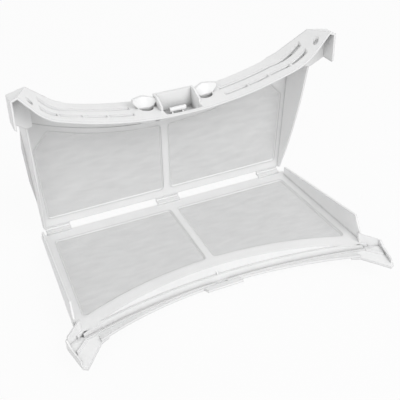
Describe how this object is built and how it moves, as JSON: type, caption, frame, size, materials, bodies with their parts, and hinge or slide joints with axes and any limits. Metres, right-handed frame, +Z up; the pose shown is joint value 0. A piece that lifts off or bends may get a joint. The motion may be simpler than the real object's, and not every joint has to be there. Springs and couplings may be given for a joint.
{
  "type": "tumble dryer lint filter",
  "caption": "Folding lint filter of a tumble dryer: fine cloth screens in two moulded leaves joined by a film hinge, with a curved slotted deck, finger grips and corner ears.",
  "frame": {"origin": "middle of the footprint's bounding box, on the floor that the opened filter stands on", "axes": "+X along the hinge, to the right of someone facing the inside of the back leaf; +Y from the front leaf towards the back leaf; +Z up"},
  "size_m": [0.3274, 0.212, 0.1928],
  "materials": {
    "frame_plastic": "smooth moulded polypropylene, slightly translucent",
    "filter_cloth": "fine plain-woven monofilament cloth"
  },
  "bodies": {
    "front_leaf": {"front_frame": "frame_plastic", "front_screen_left": "filter_cloth", "front_screen_right": "filter_cloth"},
    "back_leaf": {"back_frame": "frame_plastic", "back_screen_left": "filter_cloth", "back_screen_right": "filter_cloth"}
  },
  "joints": [
    {"name": "fold_hinge", "type": "hinge", "parent": "front_leaf", "child": "back_leaf", "pos_m": [0, 0.08568, 0.00501], "axis": [1, 0, 0], "range_deg": [-80, 71.5]}
  ]
}
